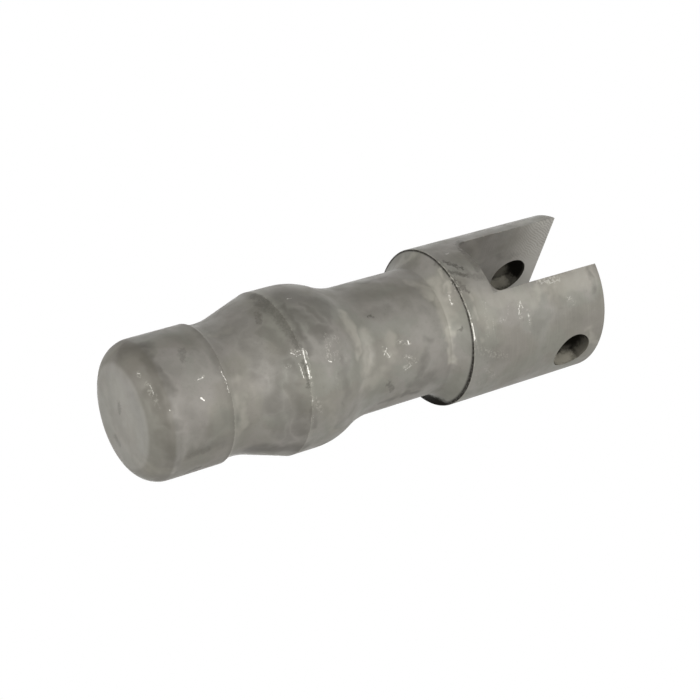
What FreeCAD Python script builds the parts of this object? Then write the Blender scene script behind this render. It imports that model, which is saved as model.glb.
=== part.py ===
import FreeCAD, Part
import math
import os

# Hitch pin: one piece of steel that drops nose first through the eye of a drawbar.
# Millimetres. The origin is the centre of the nose face, and +Z runs up to the fork.
# The cross hole runs along X, and the slot between the two ears is open along Y.

# Round body
shank_diameter = 30.4     # neck and shank, the slimmest parts
crown_rise = 3.8          # how far the bulge stands proud of the neck and shank
pilot_rise = 0.77         # how far the pilot stands proud of the neck
head_rise = 3.88          # how far the head stands proud of the shank

# Nose and pilot
nose_radius = 6.0         # blend from the flat nose face to the side of the pilot
pilot_land = 12.8         # straight side of the pilot, up to its crisp edge

# Neck
undercut_radius = 6.2     # hollow behind the pilot's edge
neck_land = 0.3           # narrow straight stretch at the bottom of the neck
neck_radius = 14.6        # hollow that leads from the neck into the cone

# Bulge
cone_length = 12.0        # from the neck's corner point up to the ridge
crown_land = 6.2          # straight side of the bulge, above the ridge
ogee_length = 15.8        # two equal curves from the crown down to the shank

# Shank and shoulder
shank_land = 18.65        # straight side of the shank, up to the shoulder's crease
shoulder_length = 3.35    # from the crease up to the head's rim
shoulder_radius = 7.0     # hollow slope that spreads the shank out to the rim
rim_break = 0.2           # worn edge round the head's rim

# Forked head
web_length = 8.7          # full round stretch between the rim and the floor of the slot
slot_depth = 30.85        # from the floor of the slot to the ends of the ears
slot_width = 16.9
slot_corner_radius = 2.5  # rounded corners at the floor of the slot
hole_diameter = 10.1      # cross hole through both ears
hole_end_wall = 3.65      # steel between the cross hole and the ends of the ears
ear_break = 0.3           # worn outer edge at the ends of the ears

# Radii of the round body
shank_radius = shank_diameter / 2
crown_radius = shank_radius + crown_rise
pilot_radius = shank_radius + pilot_rise
head_radius = shank_radius + head_rise

# Heights of the round body, from the nose up
pilot_edge_z = nose_radius + pilot_land
undercut_reach = math.sqrt(2 * undercut_radius * pilot_rise - pilot_rise**2)
cone_angle = math.atan(crown_rise / cone_length)
neck_tangent = neck_radius * math.tan(cone_angle / 2)
neck_start_z = pilot_edge_z + undercut_reach
neck_end_z = neck_start_z + neck_land
cone_root_z = neck_end_z + neck_tangent
ridge_z = cone_root_z + cone_length
crown_end_z = ridge_z + crown_land
shank_start_z = crown_end_z + ogee_length
shoulder_start_z = shank_start_z + shank_land
rim_z = shoulder_start_z + shoulder_length

# Heights of the fork
slot_floor_z = rim_z + web_length
top_z = slot_floor_z + slot_depth
hole_z = top_z - hole_end_wall - hole_diameter / 2


def point(radius, height):
    """A point of the outline, which is drawn in the XZ plane."""
    return FreeCAD.Vector(radius, 0, height)


def line(start, end):
    return Part.LineSegment(start, end).toShape()


def arc(start, end, centre, radius):
    """The shorter arc about a centre, through the point midway between its two ends."""
    chord_middle = (start + end) / 2
    outwards = (chord_middle - centre).normalize()
    return Part.Arc(start, centre + outwards * radius, end).toShape()


def nose_and_pilot():
    """Flat nose face, its round blend and the straight pilot."""
    flat_radius = pilot_radius - nose_radius
    centre = point(flat_radius, nose_radius)
    face_edge = point(flat_radius, 0)
    side_start = point(pilot_radius, nose_radius)
    side_end = point(pilot_radius, pilot_edge_z)
    return [
        line(point(0, 0), face_edge),
        arc(face_edge, side_start, centre, nose_radius),
        line(side_start, side_end),
    ]


def neck():
    """Hollow behind the pilot, the narrow land and the hollow that turns into the cone."""
    edge = point(pilot_radius, pilot_edge_z)
    land_start = point(shank_radius, neck_start_z)
    land_end = point(shank_radius, neck_end_z)
    undercut_centre = point(shank_radius + undercut_radius, neck_start_z)
    cone_centre = point(shank_radius + neck_radius, neck_end_z)
    return [
        arc(edge, land_start, undercut_centre, undercut_radius),
        line(land_start, land_end),
        arc(land_end, cone_start(), cone_centre, neck_radius),
    ]


def cone_start():
    """Where the neck's hollow runs out into the straight cone."""
    radius = shank_radius + neck_tangent * math.sin(cone_angle)
    height = cone_root_z + neck_tangent * math.cos(cone_angle)
    return point(radius, height)


def bulge():
    """Straight cone, the ridge, the crown and the ogee down to the shank."""
    ridge = point(crown_radius, ridge_z)
    crown_end = point(crown_radius, crown_end_z)
    shank_start = point(shank_radius, shank_start_z)
    turn = 2 * math.atan(crown_rise / ogee_length)
    ogee_radius = ogee_length / (2 * math.sin(turn))
    middle = (crown_end + shank_start) / 2
    crown_centre = point(crown_radius - ogee_radius, crown_end_z)
    shank_centre = point(shank_radius + ogee_radius, shank_start_z)
    return [
        line(cone_start(), ridge),
        line(ridge, crown_end),
        arc(crown_end, middle, crown_centre, ogee_radius),
        arc(middle, shank_start, shank_centre, ogee_radius),
    ]


def shank_and_shoulder():
    """Straight shank, the crease at its end and the hollow slope out to the rim."""
    shank_start = point(shank_radius, shank_start_z)
    crease = point(shank_radius, shoulder_start_z)
    rim_inner = point(head_radius - rim_break, rim_z)
    slope = rim_inner - crease
    outwards = FreeCAD.Vector(slope.z, 0, -slope.x).normalize()
    drop = math.sqrt(shoulder_radius**2 - (slope.Length / 2)**2)
    centre = (crease + rim_inner) / 2 + outwards * drop
    return [
        line(shank_start, crease),
        arc(crease, rim_inner, centre, shoulder_radius),
    ]


def head():
    """Full round head with worn edges, up to its flat end."""
    rim_inner = point(head_radius - rim_break, rim_z)
    rim_outer = point(head_radius, rim_z + rim_break)
    side_end = point(head_radius, top_z - ear_break)
    end_edge = point(head_radius - ear_break, top_z)
    end_centre = point(0, top_z)
    return [
        line(rim_inner, rim_outer),
        line(rim_outer, side_end),
        line(side_end, end_edge),
        line(end_edge, end_centre),
    ]


def round_body():
    """The whole outline turned once round the pin's axis."""
    outline = nose_and_pilot() + neck() + bulge() + shank_and_shoulder() + head()
    outline.append(line(point(0, top_z), point(0, 0)))
    section = Part.Face(Part.Wire(outline))
    return section.revolve(FreeCAD.Vector(0, 0, 0), FreeCAD.Vector(0, 0, 1), 360)


def slot():
    """Cutter for the slot: straight walls, and a flat floor with rounded corners."""
    overshoot = slot_width
    half_width = slot_width / 2
    floor_half = half_width - slot_corner_radius
    mouth_z = top_z + overshoot
    corner_z = slot_floor_z + slot_corner_radius
    left_centre = point(-floor_half, corner_z)
    right_centre = point(floor_half, corner_z)
    outline = [
        line(point(-floor_half, slot_floor_z), point(floor_half, slot_floor_z)),
        arc(point(floor_half, slot_floor_z), point(half_width, corner_z), right_centre, slot_corner_radius),
        line(point(half_width, corner_z), point(half_width, mouth_z)),
        line(point(half_width, mouth_z), point(-half_width, mouth_z)),
        line(point(-half_width, mouth_z), point(-half_width, corner_z)),
        arc(point(-half_width, corner_z), point(-floor_half, slot_floor_z), left_centre, slot_corner_radius),
    ]
    section = Part.Face(Part.Wire(outline))
    section.translate(FreeCAD.Vector(0, -head_radius - overshoot, 0))
    return section.extrude(FreeCAD.Vector(0, 2 * (head_radius + overshoot), 0))


def cross_hole():
    """Cutter for the hole through both ears."""
    start = FreeCAD.Vector(-2 * head_radius, 0, hole_z)
    along_x = FreeCAD.Vector(1, 0, 0)
    return Part.makeCylinder(hole_diameter / 2, 4 * head_radius, start, along_x)


def hitch_pin():
    return round_body().cut(slot()).cut(cross_hole())


os.makedirs("parts", exist_ok=True)
hitch_pin().exportStep("parts/hitch_pin.step")
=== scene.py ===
import bpy
import bmesh
import math
from mathutils import Matrix, Vector, noise

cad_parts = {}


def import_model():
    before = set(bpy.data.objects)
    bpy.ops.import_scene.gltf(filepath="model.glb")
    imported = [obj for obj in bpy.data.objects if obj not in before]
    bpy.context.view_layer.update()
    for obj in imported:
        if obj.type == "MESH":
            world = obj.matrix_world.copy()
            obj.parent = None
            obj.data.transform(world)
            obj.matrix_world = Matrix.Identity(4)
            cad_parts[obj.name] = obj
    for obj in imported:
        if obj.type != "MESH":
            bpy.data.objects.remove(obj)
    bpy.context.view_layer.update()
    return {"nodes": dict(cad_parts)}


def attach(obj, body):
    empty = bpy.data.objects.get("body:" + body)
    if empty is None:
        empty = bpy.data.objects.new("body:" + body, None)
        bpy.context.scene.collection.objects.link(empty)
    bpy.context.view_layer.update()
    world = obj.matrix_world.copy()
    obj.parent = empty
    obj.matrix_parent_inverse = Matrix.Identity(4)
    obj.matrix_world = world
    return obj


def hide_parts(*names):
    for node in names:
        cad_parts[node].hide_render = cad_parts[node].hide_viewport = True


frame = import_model()
scene = bpy.context.scene

MM = 0.001

# Camera, where the photograph was taken from
TARGET = Vector((0.0, 0.0, 59.0 * MM))
CAMERA_DISTANCE = 411.5 * MM
CAMERA_AZIMUTH = math.radians(36.81)
CAMERA_ELEVATION = math.radians(-30.15)
CAMERA_ROLL = math.radians(73.71)
FIELD_OF_VIEW = math.radians(22.18)
PHOTO_HALF = 350.0            # half the photograph's width, in its pixels
SENSOR_WIDTH = 36.0
CLIP_START = 0.01
CLIP_END = 50.0

# Lamps: azimuth and elevation in degrees, distance and size in metres, and watts
LAMPS = {
    "key": (46.0, -8.0, 1.5, 0.8, 14.0),
    "low": (20.0, -75.0, 1.5, 0.9, 11.5),
    "top": (70.0, 60.0, 1.8, 1.0, 8.0),
    "back": (215.0, 20.0, 1.8, 1.0, 14.0),
    "rim": (250.0, 30.0, 1.6, 0.8, 2.2),
}
WORLD_LEVEL = 0.215           # the surround's light on the pin, where 1 is white

# Floor, in millimetres
FLOOR_HALF = 1500.0
FLOOR_DROP = 0.3              # how far it lies under the nose face
FLOOR_COLOUR = (0.86, 0.86, 0.85, 1.0)
FLOOR_ROUGHNESS = 0.8

# Radii of the pin in millimetres
NOSE_BLEND = 6.0
PILOT_RADIUS = 15.97
SHANK_RADIUS = 15.2
CROWN_RADIUS = 19.0
HEAD_RADIUS = 19.08
UNDERCUT_RADIUS = 6.2
NECK_RADIUS = 14.6
SHOULDER_RADIUS = 7.0
RIM_BREAK = 0.2
EAR_BREAK = 0.3

# Heights of the pin in millimetres, from the nose up
PILOT_EDGE_Z = 18.8
NECK_LAND = 0.3
CONE_LENGTH = 12.0
CROWN_LAND = 6.2
OGEE_LENGTH = 15.8
CREASE_Z = 76.999             # where the shoulder starts to spread
RIM_Z = 80.349
SLOT_FLOOR_Z = 89.049
TOP_Z = 119.899
RIDGE_Z = 36.349

# Slot and cross hole, in millimetres
SLOT_HALF = 8.45
SLOT_CORNER = 2.5
HOLE_RADIUS = 5.05
HOLE_Z = 111.199

# How finely the skin is drawn, in millimetres and in columns round the pin
COARSE = 0.5
FINE = 0.16
FINE_REACH = 1.0              # how far the fine stretch runs to either side of an edge
COLUMNS = 264
CORNER_STEP = 0.2
HOLE_SEGMENTS = 96
SHARP_ANGLE = math.radians(32)
CUT_REACH = 1.5 * HEAD_RADIUS  # how far the cutters run to either side of the axis

# Unevenness of the skin: how often it comes and goes in a millimetre, and its depth
BROAD_RATE = 0.09
BROAD_LAYERS = (1.0, 2.0, 3)  # how each layer is fainter and finer, and how many there are
BROAD_DEPTH = 0.05
TIGHT_RATE = 0.55
TIGHT_DEPTH = 0.014


def toward(azimuth, elevation):
    """Unit vector from the pin to a place round it, as seen from that azimuth and elevation."""
    flat = math.cos(elevation)
    return Vector((math.sin(azimuth) * flat, -math.cos(azimuth) * flat, math.sin(elevation)))


def camera():
    """The camera at the photograph's place, rolled so that the pin lies as it does there."""
    data = bpy.data.cameras.new("camera")
    data.sensor_width = SENSOR_WIDTH
    data.angle = FIELD_OF_VIEW
    data.clip_start = CLIP_START
    data.clip_end = CLIP_END
    holder = bpy.data.objects.new("camera", data)
    back = toward(CAMERA_AZIMUTH, CAMERA_ELEVATION)
    level = (-back).to_track_quat("-Z", "Y").to_matrix()
    turned = level @ Matrix.Rotation(CAMERA_ROLL, 3, "Z")
    holder.matrix_world = Matrix.Translation(TARGET + back * CAMERA_DISTANCE) @ turned.to_4x4()
    scene.collection.objects.link(holder)
    scene.camera = holder


def seen_at(x, y):
    """The point of the pin's surface, in millimetres, that the photograph shows at pixel x, y."""
    eye = scene.camera.matrix_world
    reach = PHOTO_HALF / math.tan(FIELD_OF_VIEW / 2)
    ray = eye.to_3x3() @ Vector((x - PHOTO_HALF, PHOTO_HALF - y, -reach))
    solid = frame["nodes"]["hitch_pin"]
    place = solid.ray_cast(eye.translation, ray.normalized())[1]
    return place / MM


def lamp(name, azimuth, elevation, distance, size, watts):
    """A soft round lamp that shines on the pin from that azimuth and elevation."""
    data = bpy.data.lights.new(name, "AREA")
    data.shape = "DISK"
    data.size = size
    data.energy = watts
    holder = bpy.data.objects.new(name, data)
    back = toward(math.radians(azimuth), math.radians(elevation))
    turn = (-back).to_track_quat("-Z", "Y").to_matrix().to_4x4()
    holder.matrix_world = Matrix.Translation(TARGET + back * distance) @ turn
    scene.collection.objects.link(holder)


def along(start, end, step):
    """Points of a straight stretch of the outline, without its last one."""
    count = max(1, round((end - start).length / step))
    return [start.lerp(end, i / count) for i in range(count)]


def swept(centre, radius, first, last, step):
    """Points of a round stretch of the outline, without its last one. Angles are in radians."""
    count = max(2, round(radius * abs(last - first) / step))
    turns = [first + (last - first) * i / count for i in range(count)]
    return [centre + radius * Vector((math.cos(t), math.sin(t))) for t in turns]


def outline():
    """The pin's outline from the middle of the nose to the middle of the fork's end."""
    right, left, down = 0.0, math.pi, -math.pi / 2
    flat = PILOT_RADIUS - NOSE_BLEND
    points = along(Vector((0, 0)), Vector((flat, 0)), COARSE)
    points += swept(Vector((flat, NOSE_BLEND)), NOSE_BLEND, down, right, COARSE)
    edge = Vector((PILOT_RADIUS, PILOT_EDGE_Z))
    before = Vector((PILOT_RADIUS, PILOT_EDGE_Z - FINE_REACH))
    points += along(Vector((PILOT_RADIUS, NOSE_BLEND)), before, COARSE)
    points += along(before, edge, FINE)

    rise = PILOT_RADIUS - SHANK_RADIUS
    fall = math.acos(1 - rise / UNDERCUT_RADIUS)
    neck_start = PILOT_EDGE_Z + UNDERCUT_RADIUS * math.sin(fall)
    hollow = Vector((SHANK_RADIUS + UNDERCUT_RADIUS, neck_start))
    points += swept(hollow, UNDERCUT_RADIUS, left + fall, left, FINE)
    neck_end = neck_start + NECK_LAND
    points += along(Vector((SHANK_RADIUS, neck_start)), Vector((SHANK_RADIUS, neck_end)), COARSE)
    slope = math.atan((CROWN_RADIUS - SHANK_RADIUS) / CONE_LENGTH)
    hollow = Vector((SHANK_RADIUS + NECK_RADIUS, neck_end))
    points += swept(hollow, NECK_RADIUS, left, left - slope, COARSE)
    cone_start = hollow + NECK_RADIUS * Vector((math.cos(left - slope), math.sin(left - slope)))

    ridge = Vector((CROWN_RADIUS, RIDGE_Z))
    below = ridge + FINE_REACH * (cone_start - ridge).normalized()
    above = ridge + Vector((0, FINE_REACH))
    crown_end = ridge + Vector((0, CROWN_LAND))
    points += along(cone_start, below, COARSE)
    points += along(below, ridge, FINE)
    points += along(ridge, above, FINE)
    points += along(above, crown_end, COARSE)

    turn = 2 * math.atan((CROWN_RADIUS - SHANK_RADIUS) / OGEE_LENGTH)
    radius = OGEE_LENGTH / (2 * math.sin(turn))
    shank_start = Vector((SHANK_RADIUS, crown_end.y + OGEE_LENGTH))
    points += swept(crown_end - Vector((radius, 0)), radius, right, turn, COARSE)
    points += swept(shank_start + Vector((radius, 0)), radius, left + turn, left, COARSE)
    crease = Vector((SHANK_RADIUS, CREASE_Z))
    before = crease - Vector((0, FINE_REACH))
    points += along(shank_start, before, COARSE)
    points += along(before, crease, FINE)

    inner = Vector((HEAD_RADIUS - RIM_BREAK, RIM_Z))
    slope = inner - crease
    drop = math.sqrt(SHOULDER_RADIUS**2 - (slope.length / 2) ** 2)
    hollow = (crease + inner) / 2 + Vector((slope.y, -slope.x)).normalized() * drop
    first = math.atan2(*reversed(crease - hollow))
    last = math.atan2(*reversed(inner - hollow))
    points += swept(hollow, SHOULDER_RADIUS, first, last, FINE)
    outer = Vector((HEAD_RADIUS, RIM_Z + RIM_BREAK))
    after = outer + Vector((0, FINE_REACH))
    near_end = Vector((HEAD_RADIUS, TOP_Z - FINE_REACH))
    side_end = Vector((HEAD_RADIUS, TOP_Z - EAR_BREAK))
    end_edge = Vector((HEAD_RADIUS - EAR_BREAK, TOP_Z))
    points += along(inner, outer, FINE)
    points += along(outer, after, FINE)
    points += along(after, near_end, COARSE)
    points += along(near_end, side_end, FINE)
    points += along(side_end, end_edge, FINE)
    points += along(end_edge, Vector((0, TOP_Z)), COARSE)
    points.append(Vector((0, TOP_Z)))
    return points


def turned_body():
    """The outline turned round the axis, as a closed mesh in millimetres."""
    made = bmesh.new()
    points = outline()
    rows = []
    for radius, height in points[1:-1]:
        row = []
        for column in range(COLUMNS):
            angle = 2 * math.pi * column / COLUMNS
            row.append(made.verts.new((radius * math.cos(angle), radius * math.sin(angle), height)))
        rows.append(row)
    nose = made.verts.new((0, 0, points[0].y))
    end = made.verts.new((0, 0, points[-1].y))
    for column in range(COLUMNS):
        after = (column + 1) % COLUMNS
        made.faces.new((nose, rows[0][after], rows[0][column]))
        made.faces.new((end, rows[-1][column], rows[-1][after]))
        for low, high in zip(rows, rows[1:]):
            made.faces.new((low[column], low[after], high[after], high[column]))
    made.normal_update()
    return made


# Dents in the surface: place in the photograph, half width and depth in millimetres
DENTS = [
    ((296, 354), 1.5, 0.10),
    ((288, 367), 0.9, 0.07),
    ((333, 345), 2.2, 0.07),
    ((384, 352), 1.0, 0.08),
    ((401, 341), 0.8, 0.07),
    ((410, 362), 1.4, 0.06),
    ((373, 315), 1.2, 0.06),
    ((391, 388), 1.3, 0.07),
    ((451, 298), 0.8, 0.07),
    ((200, 378), 0.8, 0.06),
    ((203, 399), 0.9, 0.06),
    ((169, 411), 0.8, 0.06),
    ((139, 373), 0.7, 0.06),
    ((153, 391), 1.2, 0.06),
    ((119, 410), 1.0, 0.06),
    ((117, 440), 0.9, 0.05),
    ((520, 309), 1.2, 0.06),
    ((503, 321), 0.9, 0.05),
    ((462, 274), 1.6, 0.07),
]


def relief(place, dents):
    """How far the real surface lies under the true outline at a place, in millimetres."""
    broad = 0.5 + 0.5 * noise.fractal(place * BROAD_RATE, *BROAD_LAYERS)
    tight = 0.5 + 0.5 * noise.noise(place * TIGHT_RATE)
    depth = BROAD_DEPTH * max(0.0, broad) + TIGHT_DEPTH * tight
    for centre, half_width, deep in dents:
        gap = (place - centre).length / half_width
        if gap < 1:
            depth += deep * (1 - gap * gap) ** 2
    return depth


def wear(made):
    """Sinks every point of the skin by its relief, along its normal."""
    dents = []
    for (x, y), half_width, depth in DENTS:
        dents.append((seen_at(x, y), half_width, depth))
    moves = []
    for vert in made.verts:
        moves.append(vert.normal * relief(vert.co, dents))
    for vert, move in zip(made.verts, moves):
        vert.co -= move


def slot_cutter():
    """A bar with two rounded lower corners that runs right through the head along Y."""
    corner_z = SLOT_FLOOR_Z + SLOT_CORNER
    floor_half = SLOT_HALF - SLOT_CORNER
    half_turn = math.pi / 2
    profile = swept(Vector((floor_half, corner_z)), SLOT_CORNER, -half_turn, 0, CORNER_STEP)
    profile += [Vector((SLOT_HALF, corner_z)), Vector((SLOT_HALF, TOP_Z + SLOT_HALF))]
    profile += [Vector((-SLOT_HALF, TOP_Z + SLOT_HALF)), Vector((-SLOT_HALF, corner_z))]
    left_corner = Vector((-floor_half, corner_z))
    profile += swept(left_corner, SLOT_CORNER, -math.pi, -half_turn, CORNER_STEP)[1:]
    profile.append(Vector((-floor_half, SLOT_FLOOR_Z)))
    made = bmesh.new()
    front = [made.verts.new((p.x, -CUT_REACH, p.y)) for p in profile]
    rear = [made.verts.new((p.x, CUT_REACH, p.y)) for p in profile]
    made.faces.new(front)
    made.faces.new(list(reversed(rear)))
    for i in range(len(profile)):
        after = (i + 1) % len(profile)
        made.faces.new((front[after], front[i], rear[i], rear[after]))
    bmesh.ops.recalc_face_normals(made, faces=made.faces)
    return made


def hole_cutter():
    """A round bar that runs right through the head along X."""
    made = bmesh.new()
    lay = Matrix.Translation((0, 0, HOLE_Z)) @ Matrix.Rotation(math.pi / 2, 4, "Y")
    bmesh.ops.create_cone(made, cap_ends=True, segments=HOLE_SEGMENTS, radius1=HOLE_RADIUS,
                          radius2=HOLE_RADIUS, depth=2 * CUT_REACH, matrix=lay)
    return made


def as_object(name, made):
    """A mesh made in millimetres, as an object in metres."""
    made.transform(Matrix.Scale(MM, 4))
    data = bpy.data.meshes.new(name)
    made.to_mesh(data)
    made.free()
    holder = bpy.data.objects.new(name, data)
    scene.collection.objects.link(holder)
    return holder


def cut(piece, cutter):
    """Takes the cutter out of the piece, and removes the cutter."""
    tool = piece.modifiers.new("cut", "BOOLEAN")
    tool.operation = "DIFFERENCE"
    tool.solver = "EXACT"
    tool.object = cutter
    graph = bpy.context.evaluated_depsgraph_get()
    done = bpy.data.meshes.new_from_object(piece.evaluated_get(graph))
    piece.modifiers.clear()
    piece.data = done
    bpy.data.objects.remove(cutter)


def pin_skin():
    """The whole pin as one finely drawn mesh with its dents and wear."""
    made = turned_body()
    wear(made)
    piece = as_object("pin_skin", made)
    cut(piece, as_object("slot_cutter", slot_cutter()))
    cut(piece, as_object("hole_cutter", hole_cutter()))
    for face in piece.data.polygons:
        face.use_smooth = True
    piece.data.set_sharp_from_angle(angle=SHARP_ANGLE)
    return piece


def world():
    """A white surround for the camera and for gloss, and a plain grey level of light."""
    made = bpy.data.worlds.new("studio")
    scene.world = made
    made.use_nodes = True
    nodes = made.node_tree.nodes
    links = made.node_tree.links
    path = nodes.new("ShaderNodeLightPath")
    white = path.outputs["Is Camera Ray"]
    for ray in ("Is Glossy Ray", "Is Transmission Ray"):
        either = nodes.new("ShaderNodeMath")
        either.operation = "MAXIMUM"
        links.new(white, either.inputs[0])
        links.new(path.outputs[ray], either.inputs[1])
        white = either.outputs[0]
    level = nodes.new("ShaderNodeMapRange")
    level.inputs["To Min"].default_value = WORLD_LEVEL
    level.inputs["To Max"].default_value = 1.0
    links.new(white, level.inputs["Value"])
    back = nodes["Background"]
    back.inputs["Color"].default_value = (1, 1, 1, 1)
    links.new(level.outputs["Result"], back.inputs["Strength"])


def floor():
    """Pale floor just under the nose. The photograph looks up from below, so it is clear there."""
    made = bmesh.new()
    bmesh.ops.create_grid(made, x_segments=1, y_segments=1, size=FLOOR_HALF)
    made.transform(Matrix.Translation((0, 0, -FLOOR_DROP)))
    piece = as_object("floor", made)
    skin = bpy.data.materials.new("floor_skin")
    skin.use_nodes = True
    nodes = skin.node_tree.nodes
    links = skin.node_tree.links
    shader = nodes["Principled BSDF"]
    shader.inputs["Base Color"].default_value = FLOOR_COLOUR
    shader.inputs["Roughness"].default_value = FLOOR_ROUGHNESS
    clear = nodes.new("ShaderNodeBsdfTransparent")
    side = nodes.new("ShaderNodeNewGeometry")
    mix = nodes.new("ShaderNodeMixShader")
    links.new(side.outputs["Backfacing"], mix.inputs["Fac"])
    links.new(shader.outputs[0], mix.inputs[1])
    links.new(clear.outputs[0], mix.inputs[2])
    links.new(mix.outputs[0], nodes["Material Output"].inputs["Surface"])
    piece.data.materials.append(skin)
    piece.visible_diffuse = False
    piece.visible_glossy = False
    piece.visible_transmission = False
    piece.visible_shadow = False


# Bared bright steel: both ends of each nick in the photograph, its half width in millimetres
# and how bright it is
NICKS = {
    "ridge, outer strand": ((303, 351), (309, 374), 0.28, 0.72),
    "ridge, inner strand": ((306, 350), (311, 378), 0.20, 0.52),
    "ridge, lower stretch": ((309, 374), (313, 402), 0.20, 0.57),
    "ridge, faint end": ((313, 408), (313, 425), 0.11, 0.36),
    "ridge, dash beside it": ((299, 364), (304, 378), 0.19, 0.42),
    "ridge, chip above": ((291, 353), (297, 355), 0.24, 0.42),
    "ridge, chip above right": ((297, 352), (303, 349), 0.24, 0.38),
    "ridge, chip under": ((296, 357), (301, 354), 0.15, 0.50),
    "cone, chip": ((286, 368), (290, 366), 0.26, 0.20),
    "cone, chip near the top": ((287, 299), (291, 298), 0.22, 0.40),
    "crown, scuff one": ((330, 334), (326, 339), 0.18, 0.15),
    "crown, scuff two": ((326, 339), (328, 347), 0.20, 0.24),
    "crown, scuff three": ((335, 335), (338, 343), 0.18, 0.26),
    "crown, scuff four": ((326, 350), (328, 357), 0.20, 0.28),
    "crown, chip": ((329, 361), (332, 362), 0.26, 0.52),
    "crown, scuff five": ((334, 351), (335, 361), 0.16, 0.25),
    "crown, rub": ((316, 407), (322, 413), 0.40, 0.20),
    "crown, rub above": ((317, 401), (321, 404), 0.30, 0.14),
    "pilot edge, upper": ((221, 371), (226, 381), 0.15, 0.60),
    "pilot edge, lower": ((226, 381), (229, 392), 0.13, 0.46),
    "pilot, dash": ((198, 380), (203, 377), 0.19, 0.60),
    "pilot, bright chip": ((201, 398), (204, 400), 0.30, 0.95),
    "pilot, small dash": ((169, 410), (171, 411), 0.22, 0.34),
    "nose, chip": ((137, 374), (140, 373), 0.26, 0.36),
    "nose, scratch one": ((147, 383), (151, 387), 0.16, 0.28),
    "nose, scratch two": ((151, 386), (154, 396), 0.17, 0.36),
    "nose, scratch three": ((149, 391), (154, 392), 0.13, 0.25),
    "nose, scratch end": ((155, 398), (157, 405), 0.12, 0.12),
    "shank, star one": ((384, 356), (387, 348), 0.17, 0.46),
    "shank, star two": ((385, 351), (390, 357), 0.17, 0.46),
    "shank, bright chip": ((408, 341), (409, 344), 0.28, 0.68),
    "shank, dull chip": ((400, 342), (402, 342), 0.28, 0.46),
    "shank, hook one": ((412, 360), (417, 362), 0.16, 0.30),
    "shank, hook two": ((411, 366), (405, 370), 0.26, 0.39),
    "shank, hook three": ((408, 356), (410, 358), 0.22, 0.32),
    "shoulder, dash one": ((449, 294), (450, 300), 0.17, 0.44),
    "shoulder, dash two": ((450, 299), (452, 305), 0.17, 0.50),
    "rim burr, top": ((468, 310), (471, 319), 0.14, 0.56),
    "rim burr, bright": ((472, 323), (475, 340), 0.22, 0.66),
    "rim burr, faint end": ((475, 342), (476, 376), 0.09, 0.38),
    "head, speck": ((446, 254), (449, 253), 0.28, 0.40),
    "head, tall chip one": ((520, 301), (519, 314), 0.15, 0.60),
    "head, tall chip two": ((520, 301), (523, 308), 0.15, 0.55),
    "head, tall chip three": ((528, 313), (530, 323), 0.15, 0.45),
    "head, dash": ((501, 321), (504, 320), 0.22, 0.30),
    "head, thin line one": ((485, 299), (486, 311), 0.15, 0.30),
    "head, thin line two": ((493, 318), (494, 332), 0.15, 0.28),
    "head, thin line three": ((489, 327), (490, 336), 0.15, 0.20),
    "head, thin line four": ((508, 304), (508, 316), 0.15, 0.25),
    "head, thin line five": ((530, 330), (531, 345), 0.15, 0.15),
    "head, scuff one": ((489, 350), (494, 353), 0.25, 0.20),
    "head, scuff two": ((498, 347), (505, 348), 0.22, 0.08),
    "head, scuff three": ((488, 371), (492, 374), 0.28, 0.20),
    "ear edge, rub one": ((541, 283), (549, 280), 0.34, 0.32),
    "ear edge, rub two": ((550, 283), (556, 281), 0.30, 0.32),
    "ear, chip one": ((570, 296), (569, 300), 0.18, 0.36),
    "ear, chip two": ((570, 299), (573, 302), 0.15, 0.35),
}

# Fine pale flecks, where the skin is rubbed: both ends in the photograph, half width in
# millimetres and strength
SCUFFS = {
    "ridge, chipped": ((290, 352), (304, 351), 0.9, 0.22),
    "ridge, beside the strands": ((306, 352), (312, 385), 0.5, 0.40),
    "ridge, below": ((313, 398), (321, 407), 1.3, 0.20),
    "cone, fleck": ((285, 367), (290, 366), 0.7, 0.12),
    "crown, upper": ((326, 335), (338, 340), 1.2, 0.18),
    "crown, middle": ((328, 343), (329, 358), 1.1, 0.28),
    "crown, right": ((337, 352), (339, 358), 0.8, 0.15),
    "crown, lower": ((336, 372), (338, 390), 0.5, 0.06),
    "pilot edge": ((220, 368), (229, 394), 0.5, 0.30),
    "pilot, dash": ((197, 381), (203, 376), 0.6, 0.36),
    "nose, chip": ((137, 373), (140, 376), 0.7, 0.20),
    "nose, scratches": ((147, 384), (155, 399), 1.0, 0.20),
    "nose, below": ((154, 400), (158, 408), 0.8, 0.06),
    "shank, star": ((383, 349), (390, 356), 0.8, 0.40),
    "shank, chips": ((399, 342), (410, 343), 0.8, 0.28),
    "shank, hook": ((406, 357), (416, 361), 1.0, 0.32),
    "shank, hook below": ((405, 368), (411, 364), 1.0, 0.34),
    "shoulder, dash": ((448, 294), (452, 304), 0.7, 0.30),
    "rim, upper dirt": ((450, 276), (460, 293), 1.1, 0.38),
    "rim, burr": ((464, 302), (476, 342), 0.5, 0.36),
    "rim, lower": ((477, 345), (479, 385), 0.6, 0.20),
    "head, web": ((484, 302), (488, 336), 1.0, 0.10),
    "head, middle": ((482, 351), (506, 356), 1.5, 0.18),
    "head, lower": ((487, 368), (493, 376), 1.2, 0.15),
    "head, line": ((499, 321), (505, 319), 0.9, 0.18),
    "head, tall chips": ((519, 303), (521, 317), 0.9, 0.30),
    "head, tall chips, right": ((528, 311), (530, 324), 0.8, 0.22),
    "near ear, edge": ((539, 281), (557, 279), 1.3, 0.55),
    "near ear, tip": ((587, 274), (591, 286), 1.0, 0.06),
    "near ear, chips": ((567, 298), (574, 303), 0.9, 0.25),
    "far ear, tip": ((536, 223), (548, 225), 1.3, 0.42),
}

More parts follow.
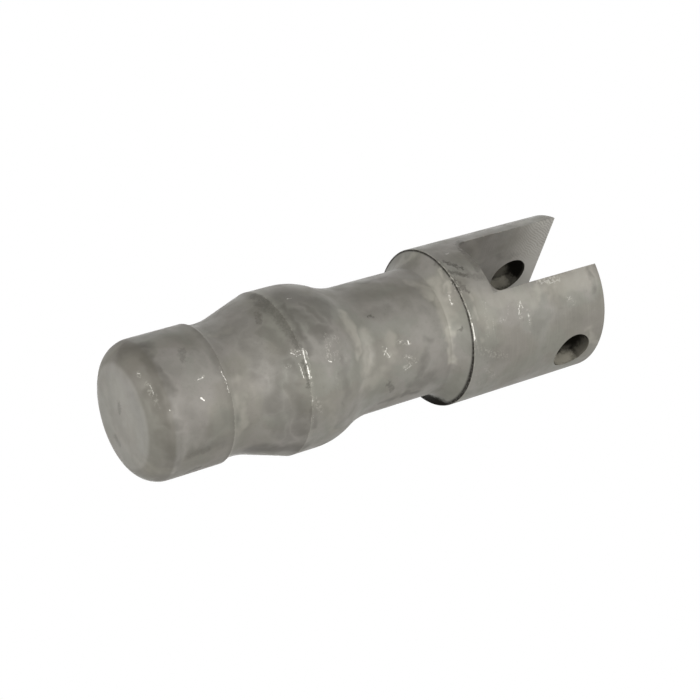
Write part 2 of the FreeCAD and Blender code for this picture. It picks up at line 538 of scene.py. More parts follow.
# Dull dark marks, stains with painted shade in the slot's inner corner: both ends in the photograph,
# half width in millimetres and strength
STAINS_AND_SHADE = {
    "nose face, upper": ((119, 404), (119, 412), 1.0, 0.40),
    "nose face, lower": ((115, 436), (119, 444), 1.1, 0.30),
    "cone, upper": ((257, 312), (259, 322), 0.9, 0.40),
    "ridge, top": ((252, 296), (268, 303), 1.5, 0.50),
    "ridge, upper": ((258, 303), (278, 315), 1.9, 0.40),
    "ridge, middle": ((276, 314), (293, 338), 1.7, 0.40),
    "ridge, lower": ((291, 334), (300, 350), 1.3, 0.42),
    "ridge, under the strands": ((304, 360), (309, 386), 0.6, 0.55),
    "pilot, blotch": ((182, 351), (183, 359), 1.2, 0.34),
    "pilot, underside": ((190, 456), (208, 449), 1.2, 0.22),
    "pilot, lowest": ((188, 472), (200, 467), 0.9, 0.60),
    "shank, pit": ((369, 317), (373, 316), 0.6, 0.60),
    "shank, blotch": ((389, 384), (392, 389), 1.1, 0.45),
    "head, dirt along the rim": ((436, 262), (462, 288), 1.0, 0.40),
    "head, dirt one": ((445, 262), (458, 267), 0.9, 0.74),
    "head, dirt two": ((455, 265), (462, 268), 0.7, 0.75),
    "head, dirt three": ((450, 272), (466, 275), 0.9, 0.68),
    "head, dirt four": ((452, 278), (459, 290), 0.7, 0.74),
    "head, dirt five": ((464, 286), (468, 292), 0.7, 0.55),
    "head, dirt six": ((470, 276), (484, 277), 1.2, 0.30),
    # painted shade in the slot's inner corner
    "slot corner": ((460, 241), (464, 252), 1.3, 0.60),
    "slot corner, lower": ((464, 252), (478, 270), 1.2, 0.35),
    "shoulder, tick": ((460, 331), (463, 327), 0.6, 0.55),
}

# Large soft patches, partly tone and partly painted light and shade (darker tops and undersides,
# paler lit edges, the painted highlight on the shoulder): both ends in the photograph, half width in
# millimetres and how pale they are, dark below 0
LIGHT_AND_TONE_PATCHES = {
    "pilot": ((192, 388), (206, 402), 4.5, -0.08),
    "cone": ((246, 388), (256, 402), 5.0, 0.04),
    "cone, second": ((228, 362), (250, 354), 2.6, 0.07),
    "cone, side": ((262, 366), (270, 350), 3.0, -0.15),
    "crown": ((322, 380), (330, 400), 5.0, 0.04),
    "shank, first": ((364, 340), (369, 368), 3.4, 0.35),
    "shank, middle": ((400, 330), (425, 345), 5.0, -0.05),
    "shoulder, upper": ((432, 284), (442, 300), 3.2, 0.42),
    "shoulder, middle": ((444, 306), (449, 330), 2.8, 0.36),
    "shoulder, lower": ((450, 326), (452, 362), 1.8, 0.68),
    "head, web": ((476, 300), (490, 320), 4.0, 0.27),
    "head, upper": ((490, 300), (530, 298), 4.0, 0.27),
    "ear": ((560, 285), (588, 275), 5.0, 0.35),
    "far ear, tip": ((515, 224), (546, 217), 2.4, 0.26),
    "nose face": ((118, 395), (132, 430), 7.0, 0.21),
    "pilot, lower": ((205, 430), (230, 420), 4.0, -0.28),
    "pilot, top": ((180, 338), (210, 345), 4.0, -0.20),
    "pilot, by the edge": ((205, 345), (218, 365), 2.0, -0.35),
    "pilot, lowest": ((195, 450), (225, 444), 3.0, -0.40),
    "nose blend, top": ((122, 350), (140, 347), 3.4, -0.90),
    "nose blend, upper": ((145, 352), (160, 374), 2.4, -0.72),
    "nose blend, right": ((162, 376), (176, 425), 2.4, -0.66),
    "nose blend, lower": ((160, 436), (170, 455), 2.6, -0.52),
    "cone, lower": ((252, 450), (300, 448), 3.6, -0.78),
    "cone, upper": ((228, 335), (244, 318), 4.0, -0.42),
    "cone, upper right": ((250, 330), (262, 305), 4.0, -0.38),
    "cone, by the ridge": ((292, 385), (302, 430), 3.2, -0.60),
    "crown, top": ((285, 296), (322, 305), 5.5, -0.60),
    "crown, rear": ((325, 305), (330, 322), 3.2, -0.53),
    "shank, upper": ((358, 298), (415, 290), 5.0, -0.30),
    "shank, second": ((370, 316), (390, 308), 3.0, -0.36),
    "shank, lower": ((415, 385), (432, 378), 3.5, -0.48),
    "head, top": ((436, 258), (475, 262), 4.0, -0.40),
    "head, by the rim": ((478, 350), (500, 356), 4.0, -0.28),
    "nose face, left edge": ((102, 375), (112, 425), 2.2, 0.12),
    "nose face, lower edge": ((114, 428), (152, 473), 2.2, 0.16),
    "crown, under the ridge's top": ((290, 312), (322, 332), 3.0, -0.72),
    "cone, middle": ((284, 352), (272, 404), 3.8, -0.55),
    "cone, beside the stain": ((262, 330), (286, 352), 2.4, -0.48),
    "cone, above the middle": ((243, 340), (257, 362), 2.4, -0.40),
    "cone, top": ((232, 318), (252, 304), 2.2, -0.18),
    "crown, to the shank": ((342, 358), (345, 398), 1.9, -0.42),
    "nose blend, by the scratches": ((154, 396), (166, 425), 2.8, -0.75),
    "nose blend, lowest": ((178, 436), (179, 462), 1.6, -0.25),
    "pilot, upper middle": ((150, 360), (178, 372), 3.0, -0.25),
    "pilot, above the middle": ((196, 350), (205, 366), 1.8, -0.20),
    "pilot, below the middle": ((212, 412), (220, 425), 2.0, 0.11),
    "shank, by the shoulder": ((428, 340), (420, 376), 2.2, -0.58),
    "shank, top band": ((408, 305), (426, 312), 1.8, -0.20),
    "shank, underside": ((385, 401), (419, 391), 1.6, -0.70),
    "crown, underside": ((340, 422), (355, 405), 1.6, -0.20),
    "near ear, end": ((590, 272), (592, 290), 1.4, -0.50),
    "near ear, middle": ((535, 330), (552, 314), 2.4, -0.24),
    "near ear, by the slot": ((535, 291), (556, 287), 2.4, 0.42),
    "cone, by the pilot": ((236, 380), (240, 430), 2.4, 0.28),
    "crown, onto the shank": ((344, 314), (357, 352), 2.2, 0.40),
    "shank, lower side": ((364, 386), (386, 374), 2.8, 0.24),
    "shank, second side": ((388, 338), (394, 362), 2.6, 0.22),
    "shoulder, top": ((414, 284), (431, 297), 2.2, 0.50),
    "shoulder, by the rim": ((439, 272), (450, 290), 1.1, 0.40),
    "head, above the rim": ((469, 298), (481, 338), 1.2, 0.36),
    "cone, pale side": ((256, 378), (268, 391), 2.4, -0.42),
    "cone, by the chips": ((290, 362), (296, 384), 2.4, -0.62),
    "cone, lower right": ((285, 400), (288, 440), 2.4, -0.42),
    "ridge, far side": ((280, 304), (300, 337), 2.2, -0.75),
    "crown, upper middle": ((302, 306), (324, 322), 2.2, -0.60),
    "pilot, left": ((187, 405), (195, 435), 2.4, -0.22),
    "nose blend, over the scratches": ((156, 372), (166, 386), 1.8, -0.30),
    "crown, lower ridge": ((312, 408), (314, 426), 1.6, -0.55),
    "near ear, across": ((545, 314), (585, 320), 2.5, -0.18),
    "shank, tick": ((366, 350), (368, 364), 1.2, -0.22),
    "cheek, above the hole": ((500, 256), (524, 254), 1.6, -0.50),
    "nose blend, foot": ((146, 466), (170, 471), 2.4, 0.34),
    "cheek, inner corner": ((472, 240), (478, 262), 1.8, 0.22),
    "ridge, by the chips": ((300, 338), (308, 352), 1.8, -0.50),
    "near ear, by the hole": ((588, 331), (597, 344), 1.6, 0.25),
    "cone, above the pilot": ((216, 336), (228, 331), 1.6, 0.25),
    "head, dirty corner": ((448, 264), (467, 276), 1.9, -0.36),
    "head, by the slot's corner": ((446, 250), (458, 247), 1.4, -0.32),
    "shoulder, top edge": ((398, 264), (414, 256), 1.9, 0.26),
    "pilot, first": ((172, 392), (174, 414), 1.5, -0.36),
    "cone, lower middle": ((276, 414), (280, 436), 2.4, -0.40),
    "crown, lower side": ((329, 402), (334, 430), 1.8, 0.14),
    "shank, top edge": ((362, 284), (385, 277), 1.3, -0.35),
    "near ear, top edge": ((562, 275), (591, 267), 1.3, 0.34),
    "nose, top edge": ((103, 362), (118, 347), 1.8, 0.26),
}

# Where light reaches into the cross hole: both ends in the photograph, half width in
# millimetres and strength
HOLE_LIGHTS = {
    "near ear, lower left": ((557, 361), (566, 357), 3.0, 1.00),
    "near ear, beside it": ((569, 357), (572, 357), 2.0, 0.52),
    "near ear, right wall": ((580, 352), (586, 344), 3.2, 0.26),
    "far ear, lower left": ((493, 284), (502, 282), 2.8, 1.00),
    "far ear, upper left": ((497, 275), (503, 269), 2.2, 0.26),
    "far ear, deeper": ((508, 277), (512, 280), 1.6, 0.26),
    "near ear, roof": ((561, 351), (567, 347), 1.4, 0.14),
}

# Colours of the steel, as a screen shows them
STEEL_DARK = (126, 123, 114)
STEEL_PALE = (138, 135, 128)
DARK_SPOT = (116, 113, 105)
PINK_TINT = (142, 134, 130)
GREEN_TINT = (126, 128, 118)
LATHE_PALE = (164, 160, 151)
DARK_FLECK = (100, 97, 90)
# pale and dark of the large patches: tone, and painted light and painted shade
PALE_LIGHT_AND_TONE = (184, 180, 168)
DARK_SHADE_AND_TONE = (92, 89, 82)
NOSE_RING = (100, 96, 86)
NOSE_FACE_LIGHT = (160, 157, 151)
BAND_DARK = (92, 88, 80)
BAND_PALE = (166, 163, 152)
STAIN_AND_SHADE_DARK = (58, 55, 48)
SHOULDER_SHADE_BLACK = (20, 18, 14)
RIM_DIRT_AND_SHADE = (26, 23, 18)
CHEEK_PAINTED_SHADE = (84, 80, 74)
CHEEK_END_LIGHT = (180, 177, 170)
CHEEK_TIP_LIGHT = (158, 155, 148)
TOOL_LINE = (100, 97, 90)
BORE_BROWN = (82, 77, 58)
# painted shade and painted light inside the cross hole
BORE_SHADE = (14, 12, 8)
BORE_LIT = (172, 167, 153)
EDGE_PALE = (176, 172, 161)
SCUFF_PALE = (200, 197, 186)
BARE_STEEL = (240, 237, 229)

# How strongly those colours are laid on
NOSE_RING_STRENGTH = 0.46
RING_EDGE_STRENGTH = 0.30
DULL_BAND_STRENGTH = 0.36
PALE_BAND_STRENGTH = 0.18
SHOULDER_SHADE_STRENGTH = 0.97
RIM_DIRT_AND_SHADE_STRENGTH = 0.95
CHEEK_END_LIGHT_STRENGTH = 0.80
CHEEK_TIP_LIGHT_STRENGTH = 0.45
BORE_STRENGTH = 0.60
BORE_SHADE_STRENGTH = 0.97
EDGE_STRENGTH = 0.70

# How far noise moves a place about, for ragged edges: size of the noise and reach, in millimetres
DRIFT = (5.0, 3.0)
WAVER = (1.0, 1.1)
JITTER = (0.6, 0.30)

# Noises of the skin: size in millimetres, detail and roughness
SHAKE_DETAIL = (2.0, 0.6)
BROAD = (13.0, 1.5, 0.5)
TIGHT = (4.0, 3.0, 0.6)
GRAIN = (0.40, 3.0, 0.6)
FLECK = (0.9, 3.0, 0.7)
CHIP = (0.32, 2.0, 0.6)
CRUMB = (0.55, 3.0, 0.65)
TINT = (9.0, 2.0, 0.5)
TURNED = (1.1, 3.0, 0.6)
WANDER = (2.5, 2.0, 0.5)
BITE = (3.0, 2.0, 0.5)
CRUMB_SHIFT = (3.0, 9.0, 27.0)       # keeps the crumbs apart from the flecks
TINT_SHIFT = (31.0, 17.0, 5.0)       # keeps the tint apart from the broad patches
TURNING_STRETCH = (0.08, 0.08, 2.6)  # draws the turning lines out round the axis

# Steps of a noise or a mask: start, end and the strength at both
BROAD_STEP = (0.42, 0.58)
SPOT_STEP = (0.44, 0.66, 0.0, 0.25)
PINK_STEP = (0.54, 0.60, 0.0, 0.15)
GREEN_STEP = (0.46, 0.40, 0.0, 0.30)
LATHE_STEP = (0.45, 0.75)
DARK_FLECK_STEP = (0.56, 0.72, 0.0, 0.20)
STAIN_CRUMB = (0.36, 0.60, 0.6, 1.0)
RIM_LINE_CRUMB = (0.3, 0.6, 0.7, 1.0)
SCUFF_CRUMB = (0.50, 0.60)
NICK_CHIP = (0.25, 0.75, -0.35, 0.35)
NICK_EDGE = (0.15, 0.55)
NICK_FADE = (0.0, 0.8)
WANDER_STEP = (0.3, 0.7, -0.3, 0.3)
BITE_STEP = (0.3, 0.6, 0.4, 1.0)
TOOL_STEP = (-0.4, 0.4, 0.36, 0.0)
METAL_STEP = (0.0, 1.0, 0.28, 0.70)  # from dull to bared steel
ROUGH_STEP = (0.3, 0.7, 0.52, 0.64)

# Steps along the pin, in millimetres: start, end and the strength at both
LATHE_HEIGHT = (RIM_Z - 1.0, RIM_Z + 1.0, 0.03, 0.10)
RING_START = (0.10, 0.45)
RING_END = (4.3, 5.0)
FACE_STEP = (0.15, 0.60, 0.34, 0.0)
SLOPE_START = (CREASE_Z - 0.6, CREASE_Z + 0.4)
SLOT_START = (SLOT_FLOOR_Z - 0.3, SLOT_FLOOR_Z + 0.2)
CHEEK_SHADE = (HOLE_Z - 8.0, TOP_Z - 3.0, 0.45, 0.0)
TIP_START = (HOLE_Z - 7.0, TOP_Z - 3.0)
CHEEK_END_START = (HOLE_Z - 2.0, TOP_Z - 1.0)

# Steps across the pin, likewise
RING_UPPER_SIDE = (-14.0, 8.0, 1.0, 0.60)
CHEEK_FACE = (SLOT_HALF + 0.06, SLOT_HALF + 0.16)
TIP_SIDE = (-2.0, -9.0)
BORE_FACE = (HOLE_RADIUS - 0.02, HOLE_RADIUS + 0.10)
BORE_DEPTH = (0.0, 1.0, 0.6, 1.0)
OUTSIDE_STEP = (18.80, 18.95)

# Bands beside the edges that run round the pin, in millimetres
RING_EDGE = (3.9, 0.5, 1.0)          # middle, half width and soft edge
DULL_BELOW_RIDGE = 3.2
DULL_BELOW_PILOT_EDGE = 1.6
PALE_ABOVE_RIDGE = 1.4
PALE_ABOVE_PILOT_EDGE = 1.2
EDGE_SOFT = 0.1

# Painted shade: black under the shoulder on its shaded side, and the black line under the head's rim,
# partly dirt and partly painted shade
SHADED_SIDE = (0.087, 0.996, 0.0)
SHADED_SIDE_STEP = (10.2, 13.2)
RIM_LINE_LOWER_SIDE = (-14.0, 2.0)
RIM_LINE_TOP = 0.10                    # how far above the rim the line starts
RIM_LINE_TOP_STEP = (-0.08, 0.0)
RIM_LINE_FULL = (0.0, 1.0, 0.10, 0.22)  # its full width on the upper and the lower side
RIM_LINE_FADE = (0.0, 1.0, 0.28, 0.56)  # where it has faded away, likewise
RIM_LINE_ACROSS = (17.3, 18.4)
RIM_LINE_DULLNESS = 0.8

# Worn edges that run round the pin: height, half width, soft edge and the step of their flecks
WORN_EDGES = (
    (RIDGE_Z, 0.05, 0.12, (0.50, 0.62, 0.04, 0.5)),
    (PILOT_EDGE_Z, 0.05, 0.12, (0.50, 0.62, 0.05, 0.5)),
    (RIM_Z + 0.26, 0.08, 0.12, (0.48, 0.62, 0.1, 0.7)),
    (TOP_Z - 0.12, 0.12, 0.18, (0.45, 0.60, 0.2, 0.7)),
)
CORNER_EDGE = (0.14, 0.16)           # worn corners of the slot: half width and soft edge
CORNER_FLECK = (0.50, 0.62, 0.0, 0.5)

# Side cutter that milled the slot, in millimetres
CUTTER_RADIUS = 80.0
CUTTER_FEED = 0.85
MILLING_DEPTH = 0.014
MILLING_STEP = (0.0, 0.6, 0.25, 1.0)  # shallow in the slot, full at the tips

# Relief of the skin's grain in millimetres, and gloss
GRAIN_HEIGHT = 0.012
FLECK_HEIGHT = 0.012
TURNED_HEIGHT = 0.006
NICK_SMOOTHNESS = 0.2
SPECULAR = 0.45

# The share of a mark's half width that has its full strength
SHARP_CORE = 0.3
SOFT_CORE = 0.1

# Sockets of Blender's Mix node that carry colours
MIX_FIRST = 6
MIX_SECOND = 7
MIX_RESULT = 2

# The standard curve between a screen's values and linear light
CURVE_FOOT = 0.04045
CURVE_FOOT_SLOPE = 12.92
CURVE_SHIFT = 0.055
CURVE_POWER = 2.4


def colour(red, green, blue):
    """A colour as a screen shows it, 0 to 255, turned into linear light."""
    def straight(value):
        share = value / 255
        if share <= CURVE_FOOT:
            return share / CURVE_FOOT_SLOPE
        return ((share + CURVE_SHIFT) / (1 + CURVE_SHIFT)) ** CURVE_POWER
    return (straight(red), straight(green), straight(blue), 1.0)


class Skin:
    """A material's nodes, with short calls for the kinds of node that the steel needs."""

    def __init__(self, name):
        self.material = bpy.data.materials.new(name)
        self.material.use_nodes = True
        self.nodes = self.material.node_tree.nodes
        self.links = self.material.node_tree.links
        self.shader = self.nodes["Principled BSDF"]
        place = self.nodes.new("ShaderNodeTexCoord").outputs["Object"]
        self.place = self.vector("SCALE", place, scale=1 / MM)
        parts = self.nodes.new("ShaderNodeSeparateXYZ")
        self.links.new(self.place, parts.inputs[0])
        self.x, self.y, self.z = parts.outputs

    def feed(self, socket, value):
        """Links another node's output to the socket, or sets the socket to a plain value."""
        if isinstance(value, bpy.types.NodeSocket):
            self.links.new(value, socket)
        else:
            socket.default_value = value

    def math(self, operation, first, second=0.0, clamp=False):
        """One step of arithmetic, held between 0 and 1 where clamp says so."""
        node = self.nodes.new("ShaderNodeMath")
        node.operation = operation
        self.feed(node.inputs[0], first)
        self.feed(node.inputs[1], second)
        return self.clamped(node.outputs[0]) if clamp else node.outputs[0]

    def clamped(self, value):
        """The value held between 0 and 1."""
        node = self.nodes.new("ShaderNodeClamp")
        self.links.new(value, node.inputs["Value"])
        return node.outputs[0]

    def vector(self, operation, first, second=(0, 0, 0), third=(0, 0, 0), scale=None):
        """One step of arithmetic on places or directions."""
        node = self.nodes.new("ShaderNodeVectorMath")
        node.operation = operation
        for socket, value in zip(node.inputs, (first, second, third)):
            self.feed(socket, value)
        if scale is not None:
            self.feed(node.inputs["Scale"], scale)
        plain = operation in ("LENGTH", "DOT_PRODUCT", "DISTANCE")
        return node.outputs["Value" if plain else "Vector"]

    def noise(self, size, detail, rough, place=None, output="Fac"):
        """Soft noise between 0 and 1 whose patches are about size millimetres across."""
        node = self.nodes.new("ShaderNodeTexNoise")
        self.links.new(place or self.place, node.inputs["Vector"])
        node.inputs["Scale"].default_value = 1 / size
        node.inputs["Detail"].default_value = detail
        node.inputs["Roughness"].default_value = rough
        return node.outputs[output]

    def shaken(self, size, reach):
        """The place moved about by noise, for ragged edges."""
        drawn = self.noise(size, *SHAKE_DETAIL, output="Color")
        shake = self.vector("SUBTRACT", drawn, (0.5, 0.5, 0.5))
        return self.vector("ADD", self.place, self.vector("SCALE", shake, scale=2 * reach))

    def ramp(self, value, low, high, start=0.0, end=1.0):
        """Smooth step from start to end as value goes from low to high."""
        node = self.nodes.new("ShaderNodeMapRange")
        node.interpolation_type = "SMOOTHSTEP"
        node.clamp = False
        for name, given in (("Value", value), ("From Min", low), ("From Max", high),
                            ("To Min", start), ("To Max", end)):
            self.feed(node.inputs[name], given)
        return node.outputs["Result"]

    def fall(self, value, low, high):
        """Smooth step from 1 down to 0 as value goes from low to high."""
        return self.ramp(value, low, high, 1.0, 0.0)

    def band(self, value, middle, half, soft):
        """1 within half of the middle, falling to 0 over a soft edge."""
        gap = self.math("ABSOLUTE", self.math("SUBTRACT", value, middle))
        return self.fall(gap, half, half + soft)

    def both(self, *masks):
        """The product of some masks, which is strong only where all of them are."""
        mask = masks[0]
        for other in masks[1:]:
            mask = self.math("MULTIPLY", mask, other)
        return mask

    def any(self, masks):
        """The strongest of some masks. Each is drawn and taken in before the next, so that
        the material stays light enough to render."""
        strongest = 0.0
        for mask in masks:
            strongest = self.math("MAXIMUM", mask, strongest)
        return strongest

    def streak(self, place, start, end, width, core, strength):
        """The strength along the line between two places, falling to 0 at the width. The core is
        the share of the width that has it in full."""
        run = end - start
        share = run / run.length_squared
        along_run = self.vector("DOT_PRODUCT", place, share)
        part = self.math("SUBTRACT", along_run, start.dot(share), clamp=True)
        foot = self.vector("ADD", self.vector("SCALE", run, scale=part), start)
        return self.ramp(self.vector("DISTANCE", place, foot), width * core, width, strength, 0.0)

    def marked(self, place, marks, core=SHARP_CORE):
        """Mask of some marks, each a streak between two places that the photograph shows."""
        return self.any(self.streak(place, seen_at(*start), seen_at(*end), width, core, strength)
                        for start, end, width, strength in marks.values())

    def mix(self, amount, first, second):
        """The first colour, turned into the second by the amount."""
        node = self.nodes.new("ShaderNodeMix")
        node.data_type = "RGBA"
        self.feed(node.inputs["Factor"], amount)
        self.feed(node.inputs[MIX_FIRST], first)
        self.feed(node.inputs[MIX_SECOND], second)
        return node.outputs[MIX_RESULT]


class Steel(Skin):
    """Dull grey forged steel: soft patches of tone and painted light and shade, a fine grain, stains,
    painted shade under the shoulder, along the rim, in the slot and the bore, worn edges and bare nicks.
    """

    def __init__(self):
        super().__init__("steel_skin")
        self.drift = self.shaken(*DRIFT)
        self.waver = self.shaken(*WAVER)
        self.jitter = self.shaken(*JITTER)
        self.broad = self.noise(*BROAD, self.drift)
        self.tight = self.noise(*TIGHT)
        self.grain = self.noise(*GRAIN)
        self.fleck = self.noise(*FLECK)
        self.chip = self.noise(*CHIP)
        self.crumb = self.noise(*CRUMB, self.vector("ADD", self.jitter, CRUMB_SHIFT))
        self.tint = self.noise(*TINT, self.vector("ADD", self.drift, TINT_SHIFT))
        self.turned = self.noise(*TURNED, self.vector("MULTIPLY", self.place, TURNING_STRETCH))
        self.body = colour(*STEEL_DARK)
        self.grey()
        self.patches()
        self.nose()
        self.bands()
        self.shoulder()
        self.rim()
        self.cheeks()
        self.bore()
        self.edges()
        self.nicks()
        self.gloss()
        self.fine_relief()

    def paint(self, shade, mask, strength=1.0):
        """Lays a colour over the skin where the mask is, as strongly as the strength says."""
        if strength < 1.0:
            mask = self.math("MULTIPLY", mask, strength)
        self.body = self.mix(mask, self.body, colour(*shade))

    def before_edge(self, height, reach):
        """Mask of the skin just under an edge that runs round the pin at that height."""
        rise = self.ramp(self.z, height - reach, height)
        return self.both(rise, self.fall(self.z, height, height + EDGE_SOFT))

    def after_edge(self, height, reach):
        """Mask of the skin just above an edge that runs round the pin at that height."""
        rise = self.ramp(self.z, height, height + EDGE_SOFT)
        return self.both(rise, self.fall(self.z, height, height + reach))

    def grey(self):
        """Soft paler and darker steel with faint tints, turning lines and dark flecks."""
        self.paint(STEEL_PALE, self.ramp(self.broad, *BROAD_STEP))
        self.paint(DARK_SPOT, self.ramp(self.tight, *SPOT_STEP))
        self.paint(PINK_TINT, self.ramp(self.tint, *PINK_STEP))
        self.paint(GREEN_TINT, self.ramp(self.tint, *GREEN_STEP))
        lathe = self.ramp(self.z, *LATHE_HEIGHT)
        self.paint(LATHE_PALE, self.both(lathe, self.ramp(self.turned, *LATHE_STEP)))
        self.paint(DARK_FLECK, self.ramp(self.fleck, *DARK_FLECK_STEP))

    def patches(self):
        """The photograph's large pale and dark patches: tone, painted light and painted shade."""
        pale = {name: patch for name, patch in LIGHT_AND_TONE_PATCHES.items() if patch[-1] > 0}
        dark = {name: (*patch[:-1], -patch[-1]) for name, patch in LIGHT_AND_TONE_PATCHES.items() if patch[-1] < 0}
        self.paint(PALE_LIGHT_AND_TONE, self.marked(self.drift, pale, SOFT_CORE))
        self.paint(DARK_SHADE_AND_TONE, self.marked(self.drift, dark, SOFT_CORE))

    def nose(self):
        """The darker ring of the nose's round blend, its darker edge, and the nose face painted paler as
        painted light.
        """
        upper = self.ramp(self.y, *RING_UPPER_SIDE)
        ring = self.both(self.ramp(self.z, *RING_START), self.fall(self.z, *RING_END))
        self.paint(NOSE_RING, ring, NOSE_RING_STRENGTH)
        # painted light: the nose face is painted paler
        self.paint(NOSE_FACE_LIGHT, self.ramp(self.z, *FACE_STEP))
        ring_edge = self.both(self.band(self.z, *RING_EDGE), upper)
        self.paint(BAND_DARK, ring_edge, RING_EDGE_STRENGTH)

    def bands(self):
        """Dull and pale bands beside the pilot's edge and the ridge, the dull stains, and painted shade
        in the slot's corner.
        """
        dull = self.any((self.before_edge(RIDGE_Z, DULL_BELOW_RIDGE),
                         self.before_edge(PILOT_EDGE_Z, DULL_BELOW_PILOT_EDGE)))
        self.paint(BAND_DARK, dull, DULL_BAND_STRENGTH)
        pale = self.any((self.after_edge(RIDGE_Z, PALE_ABOVE_RIDGE),
                         self.after_edge(PILOT_EDGE_Z, PALE_ABOVE_PILOT_EDGE)))
        self.paint(BAND_PALE, pale, PALE_BAND_STRENGTH)
        stain = self.marked(self.waver, STAINS_AND_SHADE)
        self.paint(STAIN_AND_SHADE_DARK, self.both(stain, self.ramp(self.crumb, *STAIN_CRUMB)))

    def shoulder(self):
        """Painted shade: black on the shaded side of the slope under the head."""
        slope = self.both(self.ramp(self.z, *SLOPE_START), self.fall(self.z, RIM_Z, RIM_Z + EDGE_SOFT))
        sideways = self.vector("DOT_PRODUCT", self.waver, SHADED_SIDE)
        # painted shade: the shoulder's slope goes black on its shaded side
        self.shoulder_shade = self.both(slope, self.ramp(sideways, *SHADED_SIDE_STEP))
        self.paint(SHOULDER_SHADE_BLACK, self.shoulder_shade, SHOULDER_SHADE_STRENGTH)

    def rim(self):
        """The black line just under the head's rim, partly dirt and partly painted shade, wider on the
        shaded lower side.
        """
        self.across = self.vector("LENGTH", self.vector("MULTIPLY", self.place, (1, 1, 0)))
        lower = self.ramp(self.y, *RIM_LINE_LOWER_SIDE)
        gap = self.math("SUBTRACT", RIM_Z + RIM_LINE_TOP, self.z)
        full = self.ramp(lower, *RIM_LINE_FULL)
        faded = self.ramp(lower, *RIM_LINE_FADE)
        line = self.fall(gap, full, faded)
        top = self.ramp(gap, *RIM_LINE_TOP_STEP)
        outer = self.ramp(self.across, *RIM_LINE_ACROSS)
        self.rim_dirt_and_shade = self.both(line, top, outer, self.ramp(self.crumb, *RIM_LINE_CRUMB))
        # partly dirt and partly painted shade: the black line under the rim, wider on the shaded lower
        # side
        self.paint(RIM_DIRT_AND_SHADE, self.rim_dirt_and_shade, RIM_DIRT_AND_SHADE_STRENGTH)

    def milling(self):
        """Arcs left on the slot's walls by a side cutter that was fed through along Y."""
        lift = self.math("SUBTRACT", SLOT_FLOOR_Z + CUTTER_RADIUS, self.z)
        reach = self.math("SUBTRACT", CUTTER_RADIUS**2, self.math("MULTIPLY", lift, lift))
        swing = self.math("SUBTRACT", self.y, self.math("SQRT", reach))
        wander = self.math("ADD", swing, self.ramp(self.noise(*WANDER), *WANDER_STEP))
        wave = self.math("SINE", self.math("MULTIPLY", wander, 2 * math.pi / CUTTER_FEED))
        return self.math("MULTIPLY", wave, self.ramp(self.noise(*BITE), *BITE_STEP))

    def cheeks(self):
        """The slot's walls: painted shade towards the floor, painted light at the tips, with milling
        marks.
        """
        self.aside = self.math("ABSOLUTE", self.x)
        self.above = self.ramp(self.z, *SLOT_START)
        self.cheek = self.both(self.above, self.fall(self.aside, *CHEEK_FACE))
        # painted shade towards the slot's floor, and painted light at the tips
        self.paint(CHEEK_PAINTED_SHADE, self.both(self.cheek, self.ramp(self.z, *CHEEK_SHADE)))
        self.tool = self.milling()
        self.tip = self.both(self.cheek, self.ramp(self.z, *TIP_START), self.ramp(self.y, *TIP_SIDE))
        end = self.both(self.cheek, self.ramp(self.z, *CHEEK_END_START))
        self.paint(CHEEK_END_LIGHT, end, CHEEK_END_LIGHT_STRENGTH)
        self.paint(CHEEK_TIP_LIGHT, self.tip, CHEEK_TIP_LIGHT_STRENGTH)
        self.paint(TOOL_LINE, self.both(self.tip, self.ramp(self.tool, *TOOL_STEP)))

    def bore(self):
        """The cross hole's brown wall, painted shade that goes black in its depth, and painted light
        where light reaches in.
        """
        offset = self.vector("MULTIPLY_ADD", self.place, (0, 1, 1), (0, 0, -HOLE_Z))
        wall = self.fall(self.vector("LENGTH", offset), *BORE_FACE)
        from_slot = self.math("SUBTRACT", self.aside, SLOT_HALF)
        depth = self.math("MINIMUM", from_slot, self.math("SUBTRACT", HEAD_RADIUS, self.aside))
        lit = self.both(wall, self.marked(self.waver, HOLE_LIGHTS, SOFT_CORE))
        dark = self.math("SUBTRACT", self.ramp(depth, *BORE_DEPTH), lit, clamp=True)
        # painted shade: black deep in the bore, except where the painted light reaches in
        self.deep = self.both(wall, dark)
        self.paint(BORE_BROWN, wall, BORE_STRENGTH)
        self.paint(BORE_SHADE, self.deep, BORE_SHADE_STRENGTH)
        self.paint(BORE_LIT, lit)

    def edges(self):
        """Rubbed pale edges: the ridge, the pilot's edge, the rim, the ears' ends and corners."""
        outside = self.ramp(self.across, *OUTSIDE_STEP)
        worn = []
        for height, half, soft, flecks in WORN_EDGES:
            worn.append(self.both(self.band(self.z, height, half, soft), self.ramp(self.fleck, *flecks)))
        corner = self.band(self.aside, SLOT_HALF, *CORNER_EDGE)
        worn.append(self.both(self.above, outside, corner, self.ramp(self.fleck, *CORNER_FLECK)))
        self.paint(EDGE_PALE, self.any(worn), EDGE_STRENGTH)

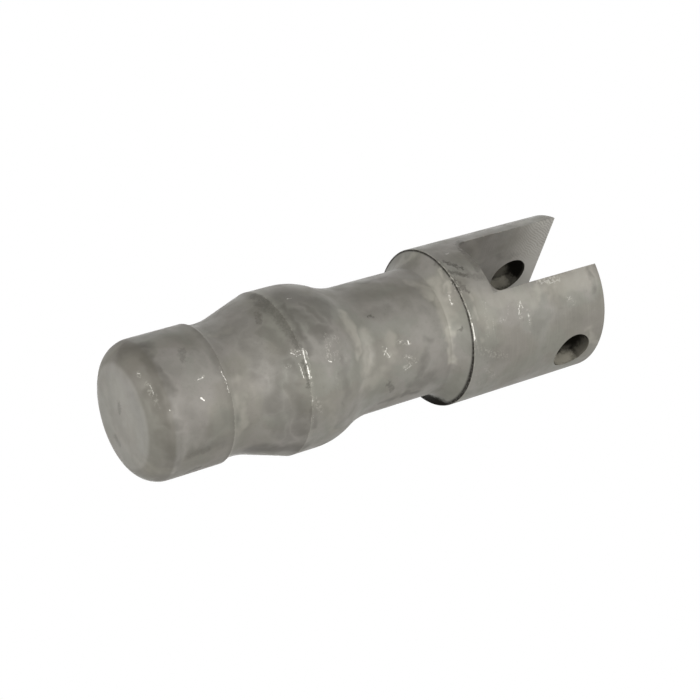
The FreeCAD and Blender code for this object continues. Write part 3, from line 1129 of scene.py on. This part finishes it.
    def nicks(self):
        """The photograph's scuffs and its bared bright nicks."""
        rub = self.marked(self.jitter, SCUFFS)
        self.paint(SCUFF_PALE, self.both(rub, self.ramp(self.crumb, *SCUFF_CRUMB)))
        nick = self.marked(self.jitter, NICKS)
        ragged = self.math("ADD", nick, self.ramp(self.chip, *NICK_CHIP))
        self.bare = self.both(self.ramp(ragged, *NICK_EDGE), self.ramp(nick, *NICK_FADE))
        self.paint(BARE_STEEL, self.bare)

    def gloss(self):
        """Bare steel is brighter and smoother, and the painted shade under the shoulder, on the rim line
        and deep in the bore has no gloss.
        """
        self.feed(self.shader.inputs["Base Color"], self.body)
        black = self.any((self.deep, self.shoulder_shade, self.math("MULTIPLY", self.rim_dirt_and_shade, RIM_LINE_DULLNESS)))
        metal = self.math("MAXIMUM", self.ramp(self.bare, *METAL_STEP), black)
        self.feed(self.shader.inputs["Metallic"], metal)
        rough = self.ramp(self.tight, *ROUGH_STEP)
        rough = self.math("SUBTRACT", rough, self.math("MULTIPLY", self.bare, NICK_SMOOTHNESS))
        self.feed(self.shader.inputs["Roughness"], self.math("MAXIMUM", rough, black))
        self.shader.inputs["Specular IOR Level"].default_value = SPECULAR

    def fine_relief(self):
        """Fine relief of the grain, the flecks, the turning lines and the milling marks."""
        grain = self.math("MULTIPLY", self.grain, GRAIN_HEIGHT)
        height = self.math("ADD", grain, self.math("MULTIPLY", self.fleck, FLECK_HEIGHT))
        height = self.math("ADD", height, self.math("MULTIPLY", self.turned, TURNED_HEIGHT))
        milled = self.both(self.cheek, self.tool, self.ramp(self.tip, *MILLING_STEP))
        height = self.math("ADD", height, self.math("MULTIPLY", milled, MILLING_DEPTH))
        bump = self.nodes.new("ShaderNodeBump")
        bump.inputs["Distance"].default_value = MM
        bump.inputs["Strength"].default_value = 1.0
        self.feed(bump.inputs["Height"], height)
        self.feed(self.shader.inputs["Normal"], bump.outputs[0])


camera()
world()
floor()
for name, values in LAMPS.items():
    lamp(name, *values)
scene.view_settings.view_transform = "Standard"

pin = pin_skin()
pin.data.materials.clear()
pin.data.materials.append(Steel().material)
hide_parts("hitch_pin")
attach(pin, "root")
